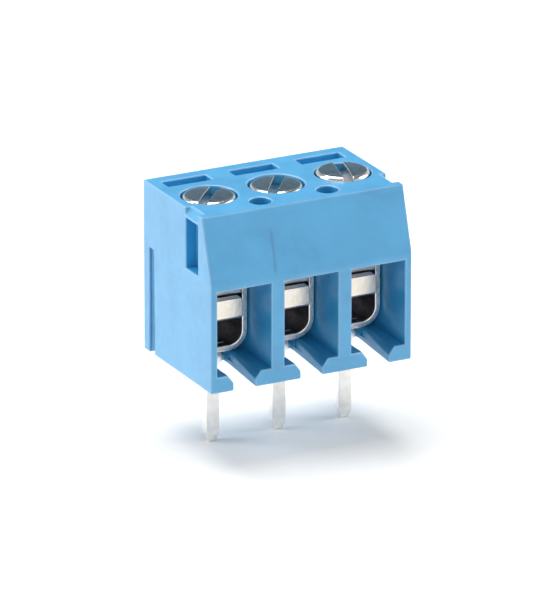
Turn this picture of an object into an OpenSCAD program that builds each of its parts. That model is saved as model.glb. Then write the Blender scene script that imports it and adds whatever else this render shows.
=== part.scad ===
// Three-pole screw terminal block for printed circuit boards, with rising clamp cages.
// Units are millimetres. +X runs along the row of poles, -Y is the wire side and +Z is up.
// The origin is the centre of the housing's underside, the face that sits on the board.

/* [Housing] */
// Distance from one pole to the next
pitch = 3.5; // [3.5:0.01:3.81]
// Depth of the housing, from the wire side to the back
body_d = 7; // [7:0.1:8]
// Height of the housing above the board
body_h = 8.4; // [8.4:0.1:9]
// Height at which the upper front face starts to lean back
slope_z = 5.37; // [5.3:0.01:5.8]
// How far the upper front face leans back by the top
slope_run = 0.9; // [0.5:0.05:1]
// Width of each wire opening
opening_w = 2.8; // [2.75:0.01:2.9]
// Height of the top edge of each wire opening
opening_top = 4.95; // [4.9:0.01:5.2]
// Thickness of the housing's floor
floor_t = 0.78; // [0.7:0.01:0.85]
// Width of the floor slot that each solder pin slides along, at its front end
pin_slot_w = 1.1; // [1.05:0.05:1.1]
// Width of that slot at its rear end
pin_slot_rear_w = 1.6; // [1.2:0.05:1.7]
// Width of the bevel along each upper edge of the floor slot
slot_bevel_w = 0.3; // [0.1:0.05:0.35]
// Height of that bevel
slot_bevel_h = 0.4; // [0.1:0.05:0.5]

/* [Interlock between neighbouring blocks] */
// Depth of the groove in the left end
groove_depth = 0.6; // [0.4:0.01:0.6]
// Width of the groove in the left end
groove_w = 1.25; // [1:0.05:1.3]
// Height at which the groove starts
groove_z = 5.42; // [5.42:0.01:6]
// How far the ramp above the groove and the tongue reaches into the top
ramp_run = 0.35; // [0.2:0.05:0.4]
// Height of that ramp
ramp_h = 0.42; // [0.3:0.02:0.6]
// Depth of the narrow rear groove in the left end
rear_groove_depth = 0.2; // [0.1:0.05:0.3]
// How far the tongue stands out of the right end
tongue_reach = 0.25; // [0.1:0.01:0.5]
// Gap that a tongue leaves to the groove it fits
tongue_gap = 0.05; // [0.03:0.01:0.08]

/* [Top details] */
// Diameter of each screw well
well_d = 2.7; // [2.6:0.02:2.8]
// Length of each marking recess
mark_l = 2.3; // [2:0.1:2.6]
// Width of each marking recess
mark_w = 0.75; // [0.5:0.05:0.8]
// Depth of each marking recess
mark_depth = 0.5; // [0.3:0.05:0.6]
// Diameter of each small blind hole between two poles
core_hole_d = 1.04; // [0.8:0.02:1.1]
// Depth of each small blind hole
core_hole_depth = 1.6; // [1:0.1:2]

/* [Screw] */
// Diameter of the screw head
head_d = 2.56; // [2.4:0.02:2.58]
// Height of the screw head
head_h = 1.25; // [1.1:0.05:1.3]
// How far each screw head stands above the housing's top
screw_rise = [0.05, 0.02, 0.18]; // [0:0.01:0.2]
// Nominal thread diameter, drawn as a plain shank
thread_d = 1.9; // [1.8:0.02:2]
// Width of the driver slot
slot_w = 0.45; // [0.3:0.05:0.5]
// Depth of the driver slot
slot_depth = 0.5; // [0.3:0.05:0.6]
// Directions that the three driver slots point in, in degrees from the Y axis
slot_turns = [-41, -35, -15]; // [-90:1:90]

/* [Clamp cage] */
// How far the screws and cages lie behind the line of the solder pins
axis_y = 0.15; // [0.1:0.01:0.2]
// Outside width of the cage, along the row of poles
cage_w = 2.7; // [2.66:0.01:2.72]
// Depth of the cage, from its front edge to its back edge
cage_d = 2.6; // [2.5:0.01:2.62]
// Thickness of the cage's sheet metal
cage_t = 0.3; // [0.25:0.01:0.32]
// Height of the cage's underside when the clamp is open
cage_z = 1.03; // [1:0.01:1.05]
// Outside height of the cage
cage_h = 3.34; // [3.3:0.01:3.34]
// Thickness of the cage's threaded top wall
cage_top_t = 0.6; // [0.55:0.01:0.62]
// Lift of the cage from fully open to fully closed
cage_travel = 0.9; // [0.7:0.05:0.9]

/* [Contact strip] */
// Width of the contact bar that passes through the cage
contact_w = 1.76; // [1.6:0.02:1.8]
// Thickness of the contact strip
strip_t = 0.45; // [0.4:0.01:0.46]
// Height of the contact bar's underside, which the wire is pressed against
contact_z = 2.75; // [2.7:0.01:2.8]
// Height of the top of the upturned lip in front of the cage
lip_top = 3.78; // [3.6:0.01:3.9]
// Width of the strip's foot under the cage
foot_w = 1.5; // [1.3:0.05:1.5]
// Width of the solder pin
pin_w = 0.7; // [0.6:0.01:0.8]
// Width of the solder pin's shoulder, which stands in the floor slot
shoulder_w = 1; // [0.8:0.02:1]
// Thickness of the solder pin
pin_t = 0.4; // [0.35:0.01:0.42]
// Length of the solder pin below the housing
pin_l = 3.75; // [3:0.05:4.5]
// Length of the tapered tip of the solder pin
tip_l = 0.45; // [0.4:0.05:0.8]

/* [Hidden] */
$fn = 64;

body_w = 3 * pitch;
front_y = -body_d / 2;
back_y = body_d / 2;
left_x = -body_w / 2;
right_x = body_w / 2;
// How far a cutting shape runs past the face that it opens
over = 1;

// The shaft above the wire opening, in which the cage rises
shaft_gap = 0.04;
shaft_w = cage_w + 2 * shaft_gap;
shaft_d = cage_d + 2 * shaft_gap;
shaft_top = cage_z + cage_h + cage_travel + 0.05;
// The bore that the screw's shank turns in, and the seat under its head
shank_bore_d = thread_d + 0.14;
head_seat_z = body_h - head_h;

// The contact strip stands in front of the cage, passes through it and goes down behind it
lip_gap = 0.04;
lip_y = axis_y - cage_d / 2 - lip_gap - strip_t;
riser_y = axis_y + cage_d / 2 + 0.2;
foot_z = 0.3;
foot_front_y = -pin_t / 2;
chamber_back_y = riser_y + strip_t + 0.1;
foot_side_gap = 0.05;

// The interlock sits near the front of both ends
groove_y = -0.9 - groove_w;
groove_top = body_h - ramp_h - 0.08;
rear_groove_w = 0.5;
rear_groove_y = 2.4;
rear_groove_top = 5.25;

function pole_x(n) = (n - 2) * pitch;

// The housing's outline seen from its end, drawn along X
module body_outline() {
    rotate([90, 0, 90])
        linear_extrude(height = body_w, center = true)
            polygon([
                [front_y, 0],
                [back_y, 0],
                [back_y, body_h],
                [front_y + slope_run, body_h],
                [front_y, slope_z]
            ]);
}

// Everything that is hollow in one pole
module pole_hollow() {
    // wire opening and chamber
    translate([-opening_w / 2, front_y - over, floor_t])
        cube([opening_w, chamber_back_y - front_y + over, opening_top - floor_t]);
    // shaft that the cage rises in
    translate([-shaft_w / 2, axis_y - shaft_d / 2, floor_t])
        cube([shaft_w, shaft_d, shaft_top - floor_t]);
    // bore for the shank, and the well for the head
    translate([0, axis_y, shaft_top - 0.1])
        cylinder(d = shank_bore_d, h = head_seat_z - shaft_top + 0.2);
    translate([0, axis_y, head_seat_z])
        cylinder(d = well_d, h = body_h);
    // slot that the solder pin slides along, bevelled along its upper edges
    translate([0, 0, -over])
        linear_extrude(height = floor_t + 2 * over)
            polygon([
                [-pin_slot_w / 2, front_y - over],
                [pin_slot_w / 2, front_y - over],
                [pin_slot_w / 2, front_y],
                [pin_slot_rear_w / 2, foot_front_y],
                [pin_slot_rear_w / 2, pin_t / 2 + 0.1],
                [-pin_slot_rear_w / 2, pin_t / 2 + 0.1],
                [-pin_slot_rear_w / 2, foot_front_y],
                [-pin_slot_w / 2, front_y]
            ]);
    translate([0, front_y - over, floor_t])
        rotate([-90, 0, 0])
            linear_extrude(height = foot_front_y - front_y + over)
                polygon([
                    [-pin_slot_w / 2 - slot_bevel_w, -0.01],
                    [-pin_slot_w / 2 - slot_bevel_w, 0],
                    [-pin_slot_w / 2, slot_bevel_h],
                    [pin_slot_w / 2, slot_bevel_h],
                    [pin_slot_w / 2 + slot_bevel_w, 0],
                    [pin_slot_w / 2 + slot_bevel_w, -0.01]
                ]);
    // channel that the strip's foot lies in
    translate([-foot_w / 2 - foot_side_gap, foot_front_y - 0.1, foot_z])
        cube([foot_w + 2 * foot_side_gap, chamber_back_y - foot_front_y + 0.1, floor_t]);
}

// Marking recess in the top, behind each screw
module marking_recess() {
    translate([-mark_l / 2, 2.05, body_h - mark_depth])
        cube([mark_l, mark_w, over]);
}

// Small blind hole in the top, between two poles
module core_hole() {
    translate([0, -1.65, body_h - core_hole_depth])
        cylinder(d = core_hole_d, h = core_hole_depth + over);
}

// Grooves in the left end: a blind one for a tongue and a narrow one for a rib
module end_grooves() {
    translate([left_x - over, groove_y, groove_z])
        cube([groove_depth + over, groove_w, groove_top - groove_z]);
    translate([left_x - over, rear_groove_y, -over])
        cube([rear_groove_depth + over, rear_groove_w, rear_groove_top + over]);
}

// Tongue and rib on the right end, which fit a neighbour's grooves
module end_tongues() {
    root = 0.2;
    translate([right_x - root, groove_y + tongue_gap, groove_z + tongue_gap])
        cube([
            root + tongue_reach,
            groove_w - 2 * tongue_gap,
            groove_top - groove_z - 2 * tongue_gap
        ]);
    translate([right_x - root, rear_groove_y + tongue_gap, 0.1])
        cube([
            root + rear_groove_depth - tongue_gap,
            rear_groove_w - 2 * tongue_gap,
            rear_groove_top - 0.1 - tongue_gap
        ]);
}

// Ramp cut into the top edge of an end. Side is -1 for the left end and 1 for the right one
module end_ramp(side) {
    translate([side * body_w / 2, groove_y + groove_w, body_h])
        rotate([90, 0, 0])
            linear_extrude(height = groove_w)
                polygon([
                    [-side * ramp_run, 0],
                    [0, -ramp_h],
                    [side * over, -ramp_h],
                    [side * over, over],
                    [-side * ramp_run, over]
                ]);
}

module housing() {
    color([0.42, 0.68, 0.9])
        difference() {
            union() {
                body_outline();
                end_tongues();
            }
            for (n = [1:3])
                translate([pole_x(n), 0, 0]) {
                    pole_hollow();
                    marking_recess();
                }
            for (x = [-pitch / 2, pitch / 2])
                translate([x, 0, 0])
                    core_hole();
            end_grooves();
            for (side = [-1, 1])
                end_ramp(side);
        }
}

// Clamping screw: a slotted cheese head with a rounded rim, on a plain shank that stands for
// the thread
module screw(n) {
    head_base = head_seat_z + 0.02 + screw_rise[n - 1];
    head_top = head_seat_z + head_h + screw_rise[n - 1];
    shank_tip = cage_z + cage_h - cage_top_t + 0.05;
    crown_h = 0.03;
    rim_r = 0.22;
    rim_steps = 6;
    tip_bevel = 0.15;
    head_r = head_d / 2;
    shank_r = thread_d / 2;
    rim_points = [
        for (i = [0:rim_steps])
            let (a = 90 * i / rim_steps)
                [head_r - rim_r + rim_r * cos(a), head_top - crown_h - rim_r + rim_r * sin(a)]
    ];
    shank_points = [
        [0, shank_tip],
        [shank_r - tip_bevel, shank_tip],
        [shank_r, shank_tip + tip_bevel],
        [shank_r, head_base],
        [head_r, head_base]
    ];
    color([0.75, 0.75, 0.76])
        translate([pole_x(n), axis_y, 0])
            difference() {
                rotate_extrude()
                    polygon(concat(shank_points, rim_points, [[0, head_top]]));
                rotate([0, 0, slot_turns[n - 1]])
                    translate([-slot_w / 2, -head_r - over, head_top - slot_depth])
                        cube([slot_w, head_d + 2 * over, slot_depth + over]);
            }
}

// Upright U-shaped outline, flat on top and round at its two lower corners, centred on X
module u_outline(w, h, r) {
    translate([-w / 2, r])
        square([w, h - r]);
    translate([-w / 2 + r, 0])
        square([w - 2 * r, r + 0.01]);
    for (side = [-1, 1])
        translate([side * (w / 2 - r), r])
            circle(r = r);
}

// Rising clamp cage: a rounded sheet-metal box, open at its front and back
module cage(n) {
    outer_r = 0.95;
    inner_w = cage_w - 2 * cage_t;
    thread_bore_d = thread_d + 0.06;
    color([0.86, 0.84, 0.8])
        translate([pole_x(n), axis_y, cage_z])
            difference() {
                rotate([90, 0, 0])
                    linear_extrude(height = cage_d, center = true)
                        difference() {
                            u_outline(cage_w, cage_h, outer_r);
                            translate([0, cage_t])
                                u_outline(inner_w, cage_h - cage_top_t - cage_t, outer_r - cage_t);
                        }
                translate([0, 0, cage_h - cage_top_t - over])
                    cylinder(d = thread_bore_d, h = cage_top_t + 2 * over);
            }
}

// Contact strip: a front lip, the bar that the wire is pressed against, a riser behind the
// cage, a foot under it and the solder pin
module pin(n) {
    bar_l = riser_y + strip_t - lip_y;
    root_z = foot_z + strip_t;
    shoulder_base = 0.1;
    pin_tip_w = 0.6 * pin_w;
    color([0.9, 0.9, 0.9])
        translate([pole_x(n), 0, 0]) {
            union() {
                translate([-contact_w / 2, lip_y, contact_z])
                    cube([contact_w, strip_t, lip_top - contact_z]);
                translate([-contact_w / 2, lip_y, contact_z])
                    cube([contact_w, bar_l, strip_t]);
                translate([-foot_w / 2, riser_y, foot_z])
                    cube([foot_w, strip_t, contact_z + strip_t - foot_z]);
                translate([-foot_w / 2, foot_front_y, foot_z])
                    cube([foot_w, riser_y + strip_t - foot_front_y, strip_t]);
                translate([-shoulder_w / 2, -pin_t / 2, shoulder_base])
                    cube([shoulder_w, pin_t, root_z - shoulder_base - 0.05]);
                translate([-pin_w / 2, -pin_t / 2, tip_l - pin_l])
                    cube([pin_w, pin_t, pin_l - tip_l + root_z - 0.05]);
                rotate([90, 0, 0])
                    linear_extrude(height = pin_t, center = true)
                        polygon([
                            [-pin_w / 2, tip_l - pin_l],
                            [-pin_tip_w / 2, -pin_l],
                            [pin_tip_w / 2, -pin_l],
                            [pin_w / 2, tip_l - pin_l]
                        ]);
            }
        }
}

housing();
screw(1);  // screw_1
screw(2);  // screw_2
screw(3);  // screw_3
cage(1);  // cage_1
cage(2);  // cage_2
cage(3);  // cage_3
pin(1);  // pin_1
pin(2);  // pin_2
pin(3);  // pin_3
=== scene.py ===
"""Looks of a three-pole screw terminal block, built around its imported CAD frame.

Pieces are drawn in millimetres and turned into metres once they are finished. Each pole's
screw, cage and contact strip is drawn round the pole's own axis and then set in its place.
"""
import math

import bmesh
import bpy
from mathutils import Matrix, Vector


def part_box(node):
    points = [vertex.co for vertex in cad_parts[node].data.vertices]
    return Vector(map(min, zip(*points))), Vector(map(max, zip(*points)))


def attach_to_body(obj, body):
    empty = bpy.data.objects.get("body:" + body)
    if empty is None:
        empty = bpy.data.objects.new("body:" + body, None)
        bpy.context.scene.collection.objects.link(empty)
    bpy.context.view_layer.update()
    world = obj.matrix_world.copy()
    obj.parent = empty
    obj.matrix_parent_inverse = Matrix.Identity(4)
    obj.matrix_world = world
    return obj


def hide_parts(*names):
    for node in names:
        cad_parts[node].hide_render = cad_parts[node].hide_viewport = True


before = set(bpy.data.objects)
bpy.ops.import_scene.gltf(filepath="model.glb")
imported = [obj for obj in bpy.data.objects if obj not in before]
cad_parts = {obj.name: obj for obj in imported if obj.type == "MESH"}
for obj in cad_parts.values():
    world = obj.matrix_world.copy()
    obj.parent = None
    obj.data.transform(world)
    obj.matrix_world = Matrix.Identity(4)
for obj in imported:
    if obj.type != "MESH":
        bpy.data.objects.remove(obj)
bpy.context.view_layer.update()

MM = 0.001
POLES = (1, 2, 3)
SQUARE_TURN = math.radians(90)
FULL_TURN = math.radians(360)


# ---------------------------------------------------------------- sizes from the frame

def box_mm(node):
    """Lowest and highest corner of a CAD node, in millimetres."""
    low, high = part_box(node)
    return low / MM, high / MM


def pole_axis(pole):
    """The point on the board's plane below the screw of a pole, in millimetres."""
    low, high = box_mm(f"screw_{pole}")
    return Vector(((low.x + high.x) / 2, (low.y + high.y) / 2, 0))


housing_low, housing_high = box_mm("housing")
cage_low, cage_high = box_mm("cage_2")
pin_low, pin_high = box_mm("pin_2")
axis_y = pole_axis(2).y
pitch = pole_axis(3).x - pole_axis(2).x


# ---------------------------------------------------------------- camera

def add_camera():
    """A long lens from the front left, a little above the block."""
    azimuth = math.radians(-27.117)
    elevation = math.radians(20.06)
    distance = 0.4
    look_at = Vector((0, 0, 0.0043))
    # the block stands a little right of the picture's middle, and a little above it
    shift_left = 0.00035
    shift_down = 0.00153
    back = Vector((
        math.sin(azimuth) * math.cos(elevation),
        -math.cos(azimuth) * math.cos(elevation),
        math.sin(elevation),
    ))
    data = bpy.data.cameras.new("camera")
    data.sensor_width = 36
    data.lens = 513.7
    data.clip_start = 0.01
    camera = bpy.data.objects.new("camera", data)
    bpy.context.scene.collection.objects.link(camera)
    turn = (-back).to_track_quat("-Z", "Y")
    right = turn @ Vector((1, 0, 0))
    up = turn @ Vector((0, 1, 0))
    camera.rotation_mode = "QUATERNION"
    camera.rotation_quaternion = turn
    camera.location = look_at - right * shift_left - up * shift_down + back * distance
    bpy.context.scene.camera = camera


# ---------------------------------------------------------------- material nodes

def add_node(tree, kind, values=None, **settings):
    """A shader node with its settings and the values of its sockets."""
    node = tree.nodes.new(kind)
    for key, value in settings.items():
        setattr(node, key, value)
    for socket, value in (values or {}).items():
        node.inputs[socket].default_value = value
    return node


def new_material(name):
    """An empty material, with its tree and its shader."""
    material = bpy.data.materials.new(name)
    material.use_nodes = True
    tree = material.node_tree
    return material, tree, tree.nodes["Principled BSDF"]


def millimetres(tree, stretch=(1, 1, 1)):
    """The point on the piece in millimetres, stretched along its axes."""
    place = add_node(tree, "ShaderNodeTexCoord")
    scale = add_node(tree, "ShaderNodeMapping", {"Scale": [s / MM for s in stretch]})
    tree.links.new(place.outputs["Object"], scale.inputs["Vector"])
    return scale.outputs["Vector"]


def noise(tree, vector, scale, detail=3, roughness=0.55, distortion=0.0):
    """Noise with about that many spots to a millimetre."""
    node = add_node(tree, "ShaderNodeTexNoise", {
        "Scale": scale,
        "Detail": detail,
        "Roughness": roughness,
        "Distortion": distortion,
    })
    tree.links.new(vector, node.inputs["Vector"])
    return node.outputs[0]


def remap(tree, value, low, high, to_low, to_high, smooth=False):
    """A value moved from one range to another and held inside it."""
    node = add_node(tree, "ShaderNodeMapRange", {1: low, 2: high, 3: to_low, 4: to_high})
    if smooth:
        node.interpolation_type = "SMOOTHSTEP"
    tree.links.new(value, node.inputs[0])
    return node.outputs[0]


def math_node(tree, operation, first, second):
    """A sum, a product or the like of two values, either of which may be a number."""
    node = add_node(tree, "ShaderNodeMath", operation=operation)
    for socket, value in zip(node.inputs, (first, second)):
        if isinstance(value, (int, float)):
            socket.default_value = value
        else:
            tree.links.new(value, socket)
    return node.outputs[0]


def ramp(tree, value, stops):
    """Colours along a value. Each stop is its place and its colour."""
    node = add_node(tree, "ShaderNodeValToRGB")
    elements = node.color_ramp.elements
    while len(elements) < len(stops):
        elements.new(0.5)
    for element, (place, color) in zip(elements, stops):
        element.position = place
        element.color = (*color, 1)
    tree.links.new(value, node.inputs[0])
    return node.outputs[0]


def blend_color(tree, factor, first, second):
    """Two colours mixed by a factor. The second may be a plain colour."""
    node = add_node(tree, "ShaderNodeMix", data_type="RGBA")
    tree.links.new(factor, node.inputs[0])
    tree.links.new(first, node.inputs[6])
    if isinstance(second, tuple):
        node.inputs[7].default_value = (*second, 1)
    else:
        tree.links.new(second, node.inputs[7])
    return node.outputs[2]


def bump(tree, height, depth_mm, under=None):
    """A bump of that depth, on top of another one if there is one."""
    node = add_node(tree, "ShaderNodeBump", {"Strength": 1.0, "Distance": depth_mm * MM})
    tree.links.new(height, node.inputs["Height"])
    if under is not None:
        tree.links.new(under, node.inputs["Normal"])
    return node.outputs["Normal"]


# ---------------------------------------------------------------- materials

BLUE_SHADE = (0.02, 0.15, 0.33)
BLUE_DEEP = (0.030, 0.262, 0.515)
BLUE = (0.038, 0.300, 0.572)
BLUE_PALE = (0.050, 0.335, 0.618)


def moulded_plastic(name, lighter=0.0, polish=1.0):
    """Satin nylon: cloudy colour, flow streaks, spark-eroded grain and fine scratches."""
    material, tree, shader = new_material(name)
    place = millimetres(tree)
    clouds = noise(tree, place, 0.45, 5, 0.6, 0.4)
    flow = noise(tree, millimetres(tree, (0.25, 0.9, 2.2)), 1.2, 4, 0.6, 0.8)
    speckle = noise(tree, place, 16, 2)
    shades = [
        [channel + lighter * (1 - channel) for channel in shade]
        for shade in (BLUE_DEEP, BLUE, BLUE_PALE)
    ]
    color = ramp(tree, clouds, list(zip((0.3, 0.5, 0.7), shades)))
    streaks = remap(tree, flow, 0.45, 0.75, 0, 0.35)
    color = blend_color(tree, streaks, color, tuple(shades[2]))
    dust = remap(tree, speckle, 0.72, 0.84, 0, 0.15)
    color = blend_color(tree, dust, color, (0.5, 0.62, 0.74))
    # Where the plastic meets again between two poles it leaves a hairline in the leaning face
    split = add_node(tree, "ShaderNodeSeparateXYZ")
    tree.links.new(place, split.inputs[0])
    wander = remap(tree, noise(tree, place, 0.5, 2), 0, 1, -0.06, 0.06)
    from_line = math_node(tree, "ADD", split.outputs["X"], pitch / 2 + 0.12)
    from_line = math_node(tree, "ABSOLUTE", math_node(tree, "ADD", from_line, wander), 0)
    hairline = remap(tree, from_line, 0.03, 0.11, 1, 0, smooth=True)
    high_up = remap(tree, split.outputs["Z"], 5.3, 5.6, 0, 1)
    not_top = remap(tree, split.outputs["Z"], 7.1, 7.5, 1, 0)
    in_front = remap(tree, split.outputs["Y"], 0, 1, 1, 0)
    on_slope = math_node(tree, "MULTIPLY", high_up, not_top)
    on_slope = math_node(tree, "MULTIPLY", on_slope, in_front)
    hairline = math_node(tree, "MULTIPLY", hairline, on_slope)
    color = blend_color(tree, math_node(tree, "MULTIPLY", hairline, 0.5), color, BLUE_SHADE)
    tree.links.new(color, shader.inputs["Base Color"])
    gloss = remap(tree, noise(tree, place, 3.5, 5), 0.3, 0.7, 0.36, 0.48)
    tree.links.new(gloss, shader.inputs["Roughness"])
    sunk = bump(tree, clouds, 0.02)
    grain = bump(tree, noise(tree, place, 9, 4, 0.6), 0.0025, sunk)
    scratched = noise(tree, millimetres(tree, (0.4, 5, 2)), 6, 2, 0.5, 1.5)
    scratched = remap(tree, scratched, 0.74, 0.8, 0, 0.2)
    marks = bump(tree, math_node(tree, "ADD", scratched, hairline), -0.003, grain)
    tree.links.new(marks, shader.inputs["Normal"])
    shader.inputs["Specular IOR Level"].default_value = 0.5
    shader.inputs["IOR"].default_value = 1.53
    shader.inputs["Coat Weight"].default_value = polish
    shader.inputs["Coat IOR"].default_value = 1.53
    skin = remap(tree, noise(tree, place, 2.2, 4), 0.3, 0.7, 0.33, 0.45)
    tree.links.new(skin, shader.inputs["Coat Roughness"])
    tree.links.new(grain, shader.inputs["Coat Normal"])
    return material


def plated_metal(name, pale, dull, gloss, streak, rings=False):
    """Plated steel or brass: streaked or turned finish, cloudy tarnish and small pits."""
    material, tree, shader = new_material(name)
    place = millimetres(tree)
    lines = noise(tree, millimetres(tree, streak), 5, 4, 0.6)
    if rings:
        turned = add_node(
            tree, "ShaderNodeTexWave",
            {"Scale": 4.0, "Distortion": 1.2, "Detail": 2.0, "Detail Scale": 1.5},
            wave_type="RINGS", rings_direction="Z",
        )
        tree.links.new(place, turned.inputs["Vector"])
        faint = math_node(tree, "MULTIPLY", turned.outputs[1], 0.5)
        lines = math_node(tree, "ADD", faint, lines)
    clouds = noise(tree, place, 1.6, 5, 0.6, 0.6)
    pits = remap(tree, noise(tree, place, 14, 3), 0.66, 0.78, 0, 1)
    color = ramp(tree, clouds, [(0.32, dull), (0.6, pale)])
    color = blend_color(tree, math_node(tree, "MULTIPLY", pits, 0.5), color, dull)
    tree.links.new(color, shader.inputs["Base Color"])
    shader.inputs["Metallic"].default_value = 1.0
    rough = remap(tree, lines, 0.3, 0.8, gloss - 0.05, gloss + 0.09)
    rough = math_node(tree, "ADD", rough, math_node(tree, "MULTIPLY", pits, 0.15))
    tree.links.new(rough, shader.inputs["Roughness"])
    waves = bump(tree, clouds, 0.008)
    brushed = bump(tree, lines, 0.003, waves)
    pitted = bump(tree, pits, -0.003, brushed)
    tree.links.new(pitted, shader.inputs["Normal"])
    return material


def paper_floor(name):
    """Smooth white board with a faint tooth."""
    material, tree, shader = new_material(name)
    tooth = noise(tree, millimetres(tree), 0.8, 4)
    color = ramp(tree, tooth, [(0.3, (0.82, 0.817, 0.81)), (0.7, (0.835, 0.832, 0.825))])
    tree.links.new(color, shader.inputs["Base Color"])
    tree.links.new(remap(tree, tooth, 0.3, 0.7, 0.7, 0.8), shader.inputs["Roughness"])
    tree.links.new(bump(tree, tooth, 0.01), shader.inputs["Normal"])
    shader.inputs["Specular IOR Level"].default_value = 0.1
    return material


# ---------------------------------------------------------------- mesh tools

def to_object(bm, name):
    """A bmesh as an object, still in millimetres, with its faces pointing outwards."""
    bmesh.ops.recalc_face_normals(bm, faces=bm.faces)
    mesh = bpy.data.meshes.new(name)
    bm.to_mesh(mesh)
    bm.free()
    piece = bpy.data.objects.new(name, mesh)
    bpy.context.scene.collection.objects.link(piece)
    return piece


def apply_modifiers(piece):
    """Turns a piece's modifiers into plain mesh."""
    depsgraph = bpy.context.evaluated_depsgraph_get()
    evaluated = piece.evaluated_get(depsgraph)
    mesh = bpy.data.meshes.new_from_object(
        evaluated, preserve_all_data_layers=True, depsgraph=depsgraph
    )
    piece.modifiers.clear()
    piece.data = mesh


def cut(piece, cutter):
    """Takes a cutter's shape out of a piece."""
    modifier = piece.modifiers.new("cut", "BOOLEAN")
    modifier.operation = "DIFFERENCE"
    modifier.solver = "EXACT"
    modifier.object = cutter
    apply_modifiers(piece)
    bpy.data.objects.remove(cutter)


def soften_edges(piece, width, segments, angle=35, rim_material=-1, share=None):
    """Rounds every edge sharper than the angle, or by the share of the width that suits it."""
    bm = bmesh.new()
    bm.from_mesh(piece.data)
    weight = bm.edges.layers.float.new("bevel_weight_edge")
    for edge in bm.edges:
        if edge.calc_face_angle(0) > math.radians(angle):
            edge[weight] = 1.0 if share is None else share([vert.co for vert in edge.verts])
    bm.to_mesh(piece.data)
    bm.free()
    modifier = piece.modifiers.new("round", "BEVEL")
    modifier.width = width
    modifier.segments = segments
    modifier.limit_method = "WEIGHT"
    modifier.use_clamp_overlap = False
    modifier.material = rim_material
    apply_modifiers(piece)


def shade(piece, angle=40):
    """Smooth shading, kept flat on the large faces and sharp past the angle."""
    piece.data.shade_smooth()
    piece.data.set_sharp_from_angle(angle=math.radians(angle))
    modifier = piece.modifiers.new("normals", "WEIGHTED_NORMAL")
    modifier.keep_sharp = True
    modifier.weight = 80
    apply_modifiers(piece)


def place(piece, where=Vector((0, 0, 0)), turn=0.0):
    """Turns a finished piece into metres and sets it in its place."""
    piece.data.transform(Matrix.Rotation(turn, 4, "Z") @ Matrix.Scale(MM, 4))
    piece.location = where * MM


def lathe(bm, rows, steps):
    """A closed turned solid. Each row is a height and a radius, or a function that gives it."""
    rings = []
    for height, radius in rows:
        ring = []
        for i in range(steps):
            turn = FULL_TURN * i / steps
            reach = radius(height, turn) if callable(radius) else radius
            ring.append(bm.verts.new((reach * math.cos(turn), reach * math.sin(turn), height)))
        rings.append(ring)
    for lower, upper in zip(rings, rings[1:]):
        for i in range(steps):
            j = (i + 1) % steps
            bm.faces.new((lower[i], lower[j], upper[j], upper[i]))
    bm.faces.new(rings[0])
    bm.faces.new(rings[-1])


def block(bm, low, high):
    """A box between two corners, used as a cutter."""
    made = bmesh.ops.create_cube(bm, size=1)["verts"]
    low, high = Vector(low), Vector(high)
    bmesh.ops.scale(bm, vec=high - low, verts=made)
    bmesh.ops.translate(bm, vec=(low + high) / 2, verts=made)
    return made


# ---------------------------------------------------------------- housing

def make_housing():
    """The moulding: the CAD shape with moulded radii along all its edges that have room."""
    tongue_reach = 0.25
    shaft_low, shaft_high = 4.9, 5.4
    opening_front = -3.4
    floor_low, floor_edge, floor_high = 0.1, 0.75, 0.85
    skin_low, skin_high, skin_reach = 7.85, 8.05, 0.65
    slope_foot, slope_lean = 5.37, 0.3
    recess_depth = 0.24
    bm = bmesh.new()
    bm.from_mesh(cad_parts["housing"].data)
    bmesh.ops.scale(bm, vec=(1 / MM,) * 3, verts=bm.verts)
    bmesh.ops.remove_doubles(bm, verts=bm.verts, dist=0.0005)
    bmesh.ops.dissolve_limit(
        bm, angle_limit=math.radians(1), use_dissolve_boundaries=False,
        verts=bm.verts, edges=bm.edges,
    )
    # the right end stays in triangles, because its tongue and rib stand in it like islands
    bm.normal_update()
    end_x = housing_high.x - tongue_reach
    right_end = [
        face for face in bm.faces
        if face.normal.x > 0.99 and abs(face.calc_center_median().x - end_x) < 0.01
    ]
    bmesh.ops.triangulate(bm, faces=right_end, ngon_method="BEAUTY")
    piece = to_object(bm, "housing_moulding")
    piece.data.materials.clear()
    for material in (
        moulded_plastic("blue_nylon"),
        # the paler edge copy is a painted highlight along the rounded edges
        moulded_plastic("blue_nylon_edge_painted_highlight", lighter=0.09),
        # the slightly darker recess copy with little coat is painted shade in the hollows
        moulded_plastic("blue_nylon_recess_painted_shade", lighter=-0.012, polish=0.1),
    ):
        piece.data.materials.append(material)

    def room_beside(ends):
        heights = [end.z for end in ends]
        # the narrow ledge where a cage goes up into its shaft stays sharp
        if shaft_low < min(heights) and max(heights) < shaft_high:
            if max(end.y for end in ends) > opening_front:
                return 0.0
        # the sloped floor beside a pin's slot gets narrow towards the rear
        if floor_low < min(heights) and max(heights) < floor_high:
            if abs(ends[0].y - ends[1].y) > 1:
                return 0.0 if min(heights) > floor_edge else 0.6
        # the skin between the left groove and the ramp above it is thin
        if skin_low < min(heights) and max(heights) < skin_high:
            if max(end.x for end in ends) < housing_low.x + skin_reach:
                return 0.5
        return 1.0

    # the rounded edges get the paler edge material, a painted highlight
    soften_edges(piece, 0.07, 3, rim_material=1, share=room_beside)
    for vertex in piece.data.vertices:
        for axis in range(3):
            held = max(vertex.co[axis], housing_low[axis])
            vertex.co[axis] = min(held, housing_high[axis])
    # walls inside the openings, wells and grooves get less coat and a slightly darker colour,
    # which is painted shade
    for face in piece.data.polygons:
        x, y, z = face.center
        front_y = housing_low.y + slope_lean * max(0, z - slope_foot)
        depth = min(
            x - housing_low.x, end_x - x, y - front_y, housing_high.y - y, z, housing_high.z - z
        )
        if depth > recess_depth:
            face.material_index = 2
    shade(piece)
    place(piece)
    return piece


# ---------------------------------------------------------------- clamping screw

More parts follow.
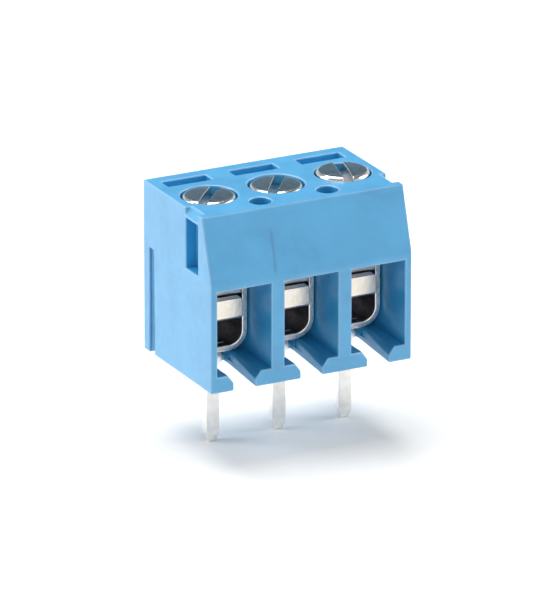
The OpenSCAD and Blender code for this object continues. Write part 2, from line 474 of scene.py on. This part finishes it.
def make_screw(name, low, high, metal):
    """A slotted cheese head with a rounded rim, on a threaded shank with a bevelled tip."""
    head_radius = (high.x - low.x) / 2
    top = high.z
    tip = low.z
    head_height = 1.23
    head_base = top - head_height
    crest = 0.94
    depth = 0.16
    lead = 0.4
    steps = 64
    row_height = lead / 8
    rim_radius = 0.22
    crown = 0.03
    rim_rows = 8

    def thread(height, turn):
        phase = (height / lead - turn / FULL_TURN) % 1
        flank = min(1, max(0, 2.6 * abs(phase - 0.5) - 0.15))
        fade = min(1, (height - tip) / lead, (head_base - height) / lead)
        return crest - depth * flank * max(0.25, fade) - 0.14 * max(0, 1 - (height - tip) / 0.2)

    rows = [(tip, 0.74)]
    thread_rows = int((head_base - 0.05 - tip) / row_height)
    rows += [(tip + 0.02 + i * row_height, thread) for i in range(thread_rows)]
    rows += [(head_base - 0.05, crest - depth), (head_base, crest - depth)]
    rows += [(head_base, head_radius - 0.05), (head_base + 0.05, head_radius)]
    rim_z = top - crown - rim_radius
    for i in range(rim_rows + 1):
        turn = SQUARE_TURN * i / rim_rows
        reach = head_radius - rim_radius + rim_radius * math.cos(turn)
        rows.append((rim_z + rim_radius * math.sin(turn), reach))
    flat = head_radius - rim_radius
    rows += [(top - crown * f * f, flat * f) for f in (0.75, 0.5, 0.25, 0.08)]
    bm = bmesh.new()
    lathe(bm, rows, steps)
    piece = to_object(bm, name)

    slot_width = 0.45
    slot_depth = 0.5
    bm = bmesh.new()
    reach = head_radius + 1
    block(bm, (-slot_width / 2, -reach, top - slot_depth), (slot_width / 2, reach, top + 1))
    cut(piece, to_object(bm, "slot_cutter"))

    bm = bmesh.new()
    bm.from_mesh(piece.data)
    lip = [
        edge for edge in bm.edges
        if min(v.co.z for v in edge.verts) > top - slot_depth - 0.01
        and all(abs(abs(v.co.x) - slot_width / 2) < 0.001 for v in edge.verts)
        and edge.calc_face_angle(0) > math.radians(30)
    ]
    bmesh.ops.bevel(bm, geom=lip, offset=0.035, segments=2, profile=0.5, affect="EDGES")
    bm.to_mesh(piece.data)
    bm.free()
    piece.data.materials.append(metal)
    shade(piece, 50)
    return piece


# ---------------------------------------------------------------- clamp cage

def cage_outline(width, height, low_radius, top_radius, base):
    """Points round a cage section: from the top left down, round the bottom and up again."""
    corners = (
        (-1, 1, top_radius), (-1, -1, low_radius), (1, -1, low_radius), (1, 1, top_radius),
    )
    steps = 10
    points = []
    for n, (side, end, radius) in enumerate(corners):
        centre_x = side * (width / 2 - radius)
        centre_z = base + (height - radius if end > 0 else radius)
        for i in range(steps + 1):
            turn = SQUARE_TURN * (n + 1 + i / steps)
            reach_x, reach_z = radius * math.cos(turn), radius * math.sin(turn)
            points.append((centre_x + reach_x, centre_z + reach_z))
    return points


def make_cage(name, metals):
    """Sheet metal bent into a box: its outside, paler cut edges that are partly a painted
    highlight, an inside painted dark as shade, and folded ends.
    """
    sheet = 0.3
    top_wall = 0.6
    low_radius = 0.95
    width = cage_high.x - cage_low.x
    height = cage_high.z - cage_low.z
    front = cage_low.y - axis_y
    back = cage_high.y - axis_y
    outer = cage_outline(width, height, low_radius, 0.2, cage_low.z)
    inner = cage_outline(
        width - 2 * sheet, height - top_wall - sheet,
        low_radius - sheet, 0.05, cage_low.z + sheet,
    )
    bm = bmesh.new()
    loops = [
        [bm.verts.new((x, y, z)) for x, z in outline]
        for outline in (outer, inner) for y in (front, back)
    ]
    count = len(outer)
    for first, second in ((0, 1), (1, 3), (3, 2), (2, 0)):
        for i in range(count):
            j = (i + 1) % count
            a, b = loops[first], loops[second]
            bm.faces.new((a[i], a[j], b[j], b[i]))
    piece = to_object(bm, name)
    # hole for the screw, and the ends folded over each other a little behind the front and back
    bm = bmesh.new()
    lathe(bm, [(cage_high.z - top_wall - 0.5, 0.98), (cage_high.z + 0.5, 0.98)], 48)
    cut(piece, to_object(bm, "bore_cutter"))
    half = width / 2 - sheet
    ceiling = cage_high.z - top_wall
    bm = bmesh.new()
    for y in (front, back):
        block(bm, (-half, y - 0.08, ceiling - 0.1), (half, y + 0.08, cage_high.z + 0.1))
    cut(piece, to_object(bm, "fold_cutter"))

    def room_beside(ends):
        # the step beside a folded end is only a little wider than one edge's radius
        beside_fold = all(
            abs(abs(end.x) - half) < 0.01 and end.z > ceiling - 0.2 for end in ends
        )
        # and the bore's lower rim comes close to the side walls
        low_rim = all(
            abs(end.z - ceiling) < 0.01 and math.hypot(end.x, end.y) < 1 for end in ends
        )
        return 0.0 if low_rim else 0.45 if beside_fold else 1.0

    soften_edges(piece, 0.07, 3, angle=40, share=room_beside)
    for vertex in piece.data.vertices:
        vertex.co.z = min(vertex.co.z, cage_high.z)
    # grip grooves across the floor
    bm = bmesh.new()
    floor_z = cage_low.z + sheet
    for n in range(4):
        y = front + (back - front) * (n + 1) / 5
        made = block(bm, (-0.34, y - 0.05, floor_z - 0.05), (0.34, y + 0.05, floor_z + 0.05))
        turn = Matrix.Rotation(SQUARE_TURN / 2, 3, "X")
        bmesh.ops.rotate(bm, cent=(0, y, floor_z), matrix=turn, verts=made)
    cut(piece, to_object(bm, "grip_cutter"))
    for material in metals:
        piece.data.materials.append(material)
    corner = low_radius - sheet
    for face in piece.data.polygons:
        x, z = abs(face.center.x), face.center.z
        round_x = max(0, x - half + corner)
        round_z = max(0, floor_z + corner - z)
        inside = math.hypot(round_x, round_z) < corner + 0.01 and z < cage_high.z - 0.08
        # inside faces get the dark copy, painted shade; flat front and back faces get the paler
        # cut-edge copy, partly a painted highlight
        if inside:
            face.material_index = 3 if z > ceiling - 0.02 and abs(face.normal.y) > 0.5 else 2
        elif abs(face.normal.y) > 0.9:
            face.material_index = 1
    shade(piece)
    return piece


# ---------------------------------------------------------------- contact strip

def bend(corner_a, corner_b, radius_a, radius_b, into, out, steps=7):
    """Pairs of points on the two faces of a strip, round one square bend."""
    into, out = Vector(into), Vector(out)
    pairs = []
    for i in range(steps + 1):
        turn = SQUARE_TURN * i / steps
        pair = []
        for corner, radius in ((corner_a, radius_a), (corner_b, radius_b)):
            centre = Vector(corner) + (into + out) * radius
            arc = out * math.cos(turn) + into * math.sin(turn)
            pair.append(centre - arc * radius)
        pairs.append(pair)
    return pairs


def strip_ring(bm, face_a, face_b, half_width, edge):
    """One section across a strip: a rectangle with rounded corners."""
    across = (face_b - face_a).normalized()
    thick = (face_b - face_a).length
    ring = []
    for n, (side, depth) in enumerate(((1, 0), (1, 1), (-1, 1), (-1, 0))):
        centre_x = side * (half_width - edge)
        centre_d = thick - edge if depth else edge
        for i in range(4):
            turn = SQUARE_TURN * (n + i / 3) - SQUARE_TURN
            x = centre_x + edge * math.cos(turn)
            d = centre_d + edge * math.sin(turn)
            point = face_a + across * d
            ring.append(bm.verts.new((x, point.x, point.y)))
    return ring


def make_contact(name, metals):
    """One strip: front lip, bar over the wire, riser behind the cage, foot and pin."""
    sheet = 0.45
    blade = 0.4
    bar_z = 2.75
    bar_top = bar_z + sheet
    foot_z = 0.3
    front = pin_low.y
    back = pin_high.y
    top = pin_high.z
    tip = pin_low.z
    half_bar = (pin_high.x - pin_low.x) / 2
    half_foot = 0.75
    half_shoulder = 0.5
    half_pin = 0.35
    down, up, rearward, forward = (0, -1), (0, 1), (1, 0), (-1, 0)
    stations = [
        ((front + 0.03, top), (front + sheet - 0.03, top), half_bar - 0.12),
        ((front, top - 0.03), (front + sheet, top - 0.03), half_bar - 0.09),
        ((front, top - 0.13), (front + sheet, top - 0.13), half_bar),
    ]
    stations += [
        (a, b, half_bar)
        for a, b in bend((front, bar_z), (front + sheet, bar_top), 0.16, 0.05, up, rearward)
    ]
    bar_end = back - sheet - 0.15
    stations.append(((bar_end - 0.2, bar_z), (bar_end - 0.2, bar_top), half_bar))
    stations.append(((bar_end, bar_z), (bar_end, bar_top), half_foot))
    stations += [
        (a, b, half_foot)
        for a, b in bend((back - sheet, bar_z), (back, bar_top), 0.05, 0.4, forward, down)
    ]
    foot_top = foot_z + sheet
    stations += [
        (a, b, half_foot)
        for a, b in bend((back - sheet, foot_top), (back, foot_z), 0.05, 0.4, up, forward)
    ]
    pin_root = blade / 2 + 0.12
    stations.append(((pin_root + 0.1, foot_top), (pin_root + 0.1, foot_z), half_foot))
    stations.append(((pin_root, foot_top), (pin_root, foot_z), half_shoulder))
    stations += [
        (a, b, half_shoulder)
        for a, b in bend((-blade / 2, foot_top), (blade / 2, foot_z), 0.3, 0.05, rearward, down)
    ]
    stations += [
        ((-blade / 2, z), (blade / 2, z), half_width)
        for z, half_width in (
            (0.2, half_shoulder), (0.12, half_shoulder - 0.06), (0.1, half_pin)
        )
    ]
    for above_tip, half_thick, half_width in (
        (0.5, 0.2, half_pin), (0.42, 0.197, 0.97 * half_pin), (0.06, 0.16, 0.64 * half_pin),
        (0.015, 0.13, 0.56 * half_pin), (0, 0.09, 0.46 * half_pin),
    ):
        z = tip + above_tip
        stations.append(((-half_thick, z), (half_thick, z), half_width))
    bm = bmesh.new()
    rings = [strip_ring(bm, Vector(a), Vector(b), w, 0.05) for a, b, w in stations]
    count = len(rings[0])
    for first, second in zip(rings, rings[1:]):
        for i in range(count):
            j = (i + 1) % count
            bm.faces.new((first[i], first[j], second[j], second[i]))
    bm.faces.new(rings[0])
    bm.faces.new(rings[-1])
    piece = to_object(bm, name)
    for material in metals:
        piece.data.materials.append(material)
    # the lip gets a darker, warmer copy of the tin, painted shade, and the strip behind it a
    # dark copy, painted shade
    for face in piece.data.polygons:
        if face.center.z > foot_top:
            behind_lip = face.center.y > front + sheet - 0.02
            face.material_index = 1 if behind_lip else 2
    shade(piece)
    return piece


# ---------------------------------------------------------------- stage and light

def add_floor(height):
    """A wide white board under the tips of the pins."""
    bm = bmesh.new()
    bmesh.ops.create_grid(bm, x_segments=4, y_segments=4, size=1.5)
    bmesh.ops.translate(bm, vec=(0, 0, height), verts=bm.verts)
    floor = to_object(bm, "floor_board")
    floor.data.materials.append(paper_floor("white_board"))


def softbox(name, azimuth, elevation, distance, size, radiance):
    """A square soft light that faces the block, with its distance and size in metres.

    Azimuth 0 is the wire side and 90 the right end.
    """
    azimuth, elevation = math.radians(azimuth), math.radians(elevation)
    away = Vector((
        math.sin(azimuth) * math.cos(elevation),
        -math.cos(azimuth) * math.cos(elevation),
        math.sin(elevation),
    ))
    data = bpy.data.lights.new(name, "AREA")
    data.shape = "SQUARE"
    data.size = size
    data.energy = radiance * math.pi * size * size
    lamp = bpy.data.objects.new(name, data)
    lamp.location = away * distance
    lamp.rotation_mode = "QUATERNION"
    lamp.rotation_quaternion = away.to_track_quat("Z", "Y")
    lamp.visible_camera = False
    bpy.context.scene.collection.objects.link(lamp)


def add_world():
    """A pale studio that darkens behind the block, seen as plain white by the camera."""
    world = bpy.data.worlds.new("studio")
    bpy.context.scene.world = world
    world.use_nodes = True
    tree = world.node_tree
    tree.nodes.clear()
    place = add_node(tree, "ShaderNodeTexCoord")
    behind_right = (0.43, 0.84, 0.34)
    facing = add_node(tree, "ShaderNodeVectorMath", {1: behind_right}, operation="DOT_PRODUCT")
    tree.links.new(place.outputs["Generated"], facing.inputs[0])
    beside = remap(tree, facing.outputs["Value"], 0.93, 0.995, 1, 0, smooth=True)
    split = add_node(tree, "ShaderNodeSeparateXYZ")
    tree.links.new(place.outputs["Generated"], split.inputs[0])
    overhead = remap(tree, split.outputs["Z"], 0.2, 0.75, 0.85, 0.22, smooth=True)
    studio = add_node(tree, "ShaderNodeBackground")
    dusk = ramp(tree, beside, [(0, (0.12, 0.22, 0.3)), (1, (1, 0.99, 0.97))])
    tree.links.new(dusk, studio.inputs["Color"])
    tree.links.new(overhead, studio.inputs["Strength"])
    backdrop = add_node(tree, "ShaderNodeBackground", {"Color": (1, 1, 1, 1), "Strength": 1.0})
    ray = add_node(tree, "ShaderNodeLightPath")
    mix = add_node(tree, "ShaderNodeMixShader")
    tree.links.new(ray.outputs["Is Camera Ray"], mix.inputs[0])
    tree.links.new(studio.outputs[0], mix.inputs[1])
    tree.links.new(backdrop.outputs[0], mix.inputs[2])
    output = add_node(tree, "ShaderNodeOutputWorld")
    tree.links.new(mix.outputs[0], output.inputs["Surface"])


def add_lights():
    """Left softbox, a weaker right one, one overhead and one in front."""
    softbox("left_softbox", -116, 25, 0.5, 0.26, 6.6)
    softbox("right_softbox", 78, 22, 0.55, 0.36, 4.2)
    softbox("overhead_softbox", 180, 72, 0.6, 0.44, 6.0)
    softbox("front_softbox", -5, 42, 0.6, 0.34, 1.2)


# ---------------------------------------------------------------- the whole block

def attach(piece, body, node):
    """Makes a piece ride on a body and stand for a CAD node."""
    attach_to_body(piece, body)
    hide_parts(node)


def build():
    """Every piece of the block, pole by pole."""
    attach(make_housing(), "block", "housing")
    zinc = plated_metal(
        "bright_zinc", (0.76, 0.77, 0.78), (0.6, 0.61, 0.62), 0.13, (1, 1, 1), rings=True
    )
    nickel = (
        plated_metal("satin_nickel", (0.97, 0.88, 0.78), (0.8, 0.72, 0.63), 0.25, (0.4, 6, 6)),
        # the paler, rougher cut-edge copy is partly bare cut metal and partly a painted
        # highlight
        plated_metal("nickel_cut_edge_and_painted_highlight", (0.97, 0.94, 0.89), (0.86, 0.82, 0.78), 0.3, (5, 5, 0.6)),
        # the dark inside copy is painted shade inside the cage
        plated_metal("nickel_inside_painted_shade", (0.46, 0.43, 0.44), (0.32, 0.31, 0.32), 0.4, (6, 0.4, 6)),
        plated_metal("nickel_fold", (0.93, 0.9, 0.87), (0.75, 0.72, 0.7), 0.35, (0.4, 6, 6)),
    )
    tin = (
        plated_metal("streaked_tin", (0.97, 0.95, 0.92), (0.87, 0.85, 0.82), 0.3, (6, 6, 0.4)),
        # dark copy of the tin, painted shade on the strip behind the lip
        plated_metal("tin_painted_shade", (0.46, 0.43, 0.44), (0.32, 0.31, 0.32), 0.35, (6, 0.4, 6)),
        # darker, warmer copy of the tin, painted shade on the lip
        plated_metal("warm_tin_painted_shade", (0.85, 0.79, 0.71), (0.75, 0.7, 0.62), 0.3, (6, 6, 0.4)),
    )
    turns = (-41, -35, -15)
    for pole in POLES:
        axis = pole_axis(pole)
        low, high = box_mm(f"screw_{pole}")
        screw = make_screw(f"clamp_screw_{pole}", low, high, zinc)
        place(screw, axis, math.radians(turns[pole - 1]))
        attach(screw, f"screw_{pole}", f"screw_{pole}")
        cage = make_cage(f"rising_cage_{pole}", nickel)
        place(cage, axis)
        attach(cage, f"cage_{pole}", f"cage_{pole}")
        contact = make_contact(f"contact_strip_{pole}", tin)
        place(contact, Vector((axis.x, 0, 0)))
        attach(contact, "block", f"pin_{pole}")


add_camera()
add_world()
add_lights()
add_floor(pin_low.z * MM)
build()
bpy.context.scene.view_settings.view_transform = "Standard"
